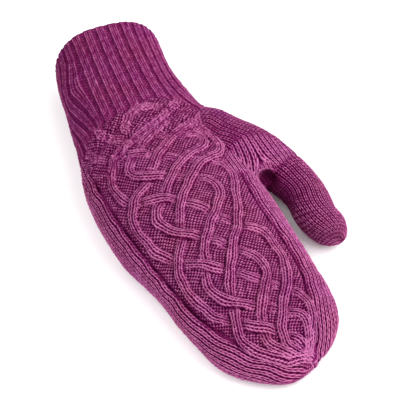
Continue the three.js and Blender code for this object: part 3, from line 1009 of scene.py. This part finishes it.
def thumb_stitches(points, turns, fractions, radius, length):
    """Height and shade of the thumb's knitting, with painted shade on the flank that faces the hand. The
    gusset has fewer stitches where it is narrower.
    """
    base_radius = radius[np.argmin(np.abs(fractions - THUMB_BASE))]
    growth = np.where(fractions < THUMB_BASE, radius / base_radius, 1.0)
    columns = turns * THUMB_STITCHES * growth[:, None] + 0.12 * waves(points, 16, 5)
    rows = fractions[:, None] * length / THUMB_ROW + turns * THUMB_LEAN + 0.2 * waves(points, 19, 6)
    stitch = knit(columns, rows, 1.25)
    luck = chance_of(columns, rows)
    groove = 0.35 * between_wales(columns)
    height = plain_height(stitch, luck, groove)
    # painted shade: the flank that faces the hand, where the hand keeps light off it, is made darker
    toward_hand = 0.5 - 0.5 * np.cos(turns * 2 * np.pi)
    painted_flank_shade = 0.4 * toward_hand ** 2 * ramp(fractions, 0.85, 0.7)[:, None]
    return height, (knit_shade(stitch, luck, groove) - 0.08) * (1 - painted_flank_shade)


def sink_into_hand(points, outer, distance, proportion, along, widest):
    """Puts the points that lie deep in the hand just inside its wall. The rest stay on the outer face."""
    sink = 1.8
    deep = distance < -sink
    x, y = plan(along, 0)
    centre = np.stack([x, y, widest], -1).reshape(points.shape)
    scale = np.where(deep, 1 / np.maximum(proportion, 0.05), 1)
    pushed = centre + (points - centre) * scale[..., None]
    pushed -= unit(pushed - centre) * sink
    return np.where(deep[..., None], pushed, outer)


def build_thumb(move, wool):
    """The gusset and the thumb, as one closed piece that starts inside the hand's wall."""
    axis_length = 140
    girth = 105
    rows = int(axis_length / MESH_STEP)
    columns = int(girth / MESH_STEP)
    t = np.arange(rows) / (rows - 1)
    tip_rows = 0.1
    tip_t = (t - 1 + tip_rows) / tip_rows
    tip_fractions = THUMB_ARC_START + (1 - THUMB_ARC_START) * np.sin(tip_t * np.pi / 2)
    fractions = np.where(tip_t < 0, t / (1 - tip_rows) * THUMB_ARC_START, tip_fractions)
    fractions = np.minimum(fractions, 0.99995)
    turns = np.arange(columns) / columns
    points, radius, length = thumb_grid(fractions, turns)

    normals = -normals_of(points)
    centred = np.where(turns > 0.5, turns - 1, turns)[None]
    height, shade = thumb_stitches(points, centred, fractions, radius, length)
    height, shade = gather(points, height, shade)
    pick_up = bell((fractions - THUMB_BASE) * length, 1.3)
    in_hand = hand_distance(points)
    height = height - 0.7 * pick_up[:, None] + 0.35 * waves(points, 30, 12) + web_lift(in_hand[0])
    closed_tip = ramp(radius, 0, 4)[:, None]
    height = height * closed_tip
    shade = shade * closed_tip + HIDDEN_SHADE * (1 - closed_tip)
    outer = sink_into_hand(points, points + normals * height[..., None], *in_hand)
    outer[..., 2] = np.maximum(outer[..., 2], FLOOR_GAP)

    index = np.arange(shade.size).reshape(shade.shape)
    ends = np.stack([outer[0].mean(0), outer[-1].mean(0)])
    flat = np.concatenate([outer.reshape(-1, 3), ends]) + move
    first_fan = fan_faces(index[0], shade.size)
    last_fan = fan_faces(index[-1, ::-1], shade.size + 1)
    faces = [tube_faces(index, True), first_fan, last_fan]
    shades = np.concatenate([np.clip(shade, 0, 1).ravel(), [HIDDEN_SHADE, HIDDEN_SHADE]])
    piece = make_mesh("thumb_knit", flat, faces, wool, shades)
    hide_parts("thumb_gusset", "thumb_base_ring", "thumb_tube", "thumb_tip_closure")
    return piece


def attach(pieces, thumb):
    """Attaches the cuff, hand and finger pieces to their bodies; the wrist, knuckle and thumb pieces keep
    their transforms baked into their points.
    """
    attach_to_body(pieces["ribbed_cuff_knit"], "cuff")
    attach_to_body(pieces["hand_knit"], "hand")
    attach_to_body(pieces["finger_knit"], "fingers")
    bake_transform(pieces["wrist_knit"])
    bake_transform(pieces["knuckle_knit"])
    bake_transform(thumb)


def area_light(name, place, size, power):
    """A square lamp that faces the origin."""
    data = bpy.data.lights.new(name, "AREA")
    data.size = size
    data.energy = power
    item = add_object(name, data)
    item.location = place
    item.rotation_euler = (-Vector(place)).to_track_quat("-Z", "Y").to_euler()
    return item


def build_stage():
    """Floor, background and lights. One lamp lights only the floor, and keeps it white around the mitten."""
    bpy.ops.mesh.primitive_plane_add(size=6, location=(0, 0, 0))
    floor = bpy.context.object
    floor.name = "floor"
    floor.data.materials.append(floor_material())

    world = bpy.data.worlds.new("studio")
    bpy.context.scene.world = world
    world.use_nodes = True
    set_inputs(world.node_tree.nodes["Background"], {"Color": (1, 1, 1, 1), "Strength": 0.68})
    bpy.context.scene.view_settings.view_transform = "Standard"

    area_light("key", (0.56, -0.50, 0.85), size=1.1, power=13.5)
    area_light("fill", (-0.76, -0.42, 0.50), size=0.6, power=1.1)
    floor_light = area_light("floor_light", (-0.75, 0.10, 0.95), size=1.1, power=9)
    lit_by_it = bpy.data.collections.new("lit_by_floor_light")
    lit_by_it.objects.link(floor)
    floor_light.light_linking.receiver_collection = lit_by_it


def build_camera():
    """The camera, above the fingertip's side and to the left."""
    azimuth = math.radians(-30.06)
    elevation = math.radians(51.4)
    distance = 0.76467
    target = Vector((-0.00572, -0.00758, 0.020))
    level = math.cos(elevation)
    back = Vector((math.sin(azimuth) * level, -math.cos(azimuth) * level, math.sin(elevation)))
    data = bpy.data.cameras.new("camera")
    data.lens = 112.95
    data.sensor_width = 36
    camera = add_object("camera", data)
    camera.location = target + back * distance
    camera.rotation_euler = back.to_track_quat("Z", "Y").to_euler()
    bpy.context.scene.camera = camera


def dress_yarn_ends(wool):
    """The woven-in yarn ends inside keep their CAD shape and get the wool."""
    for name in ("cast_on_tail", "tip_tail", "thumb_tail"):
        item = bpy.data.objects[name]
        item.data.materials.clear()
        item.data.materials.append(wool)


def main():
    """Builds the camera, the stage and the mitten."""
    build_camera()
    build_stage()
    wool = wool_material()
    move = np.array(PLACE)
    pieces = build_hand(move, wool)
    thumb = build_thumb(move, wool)
    attach(pieces, thumb)
    dress_yarn_ends(wool)


main()
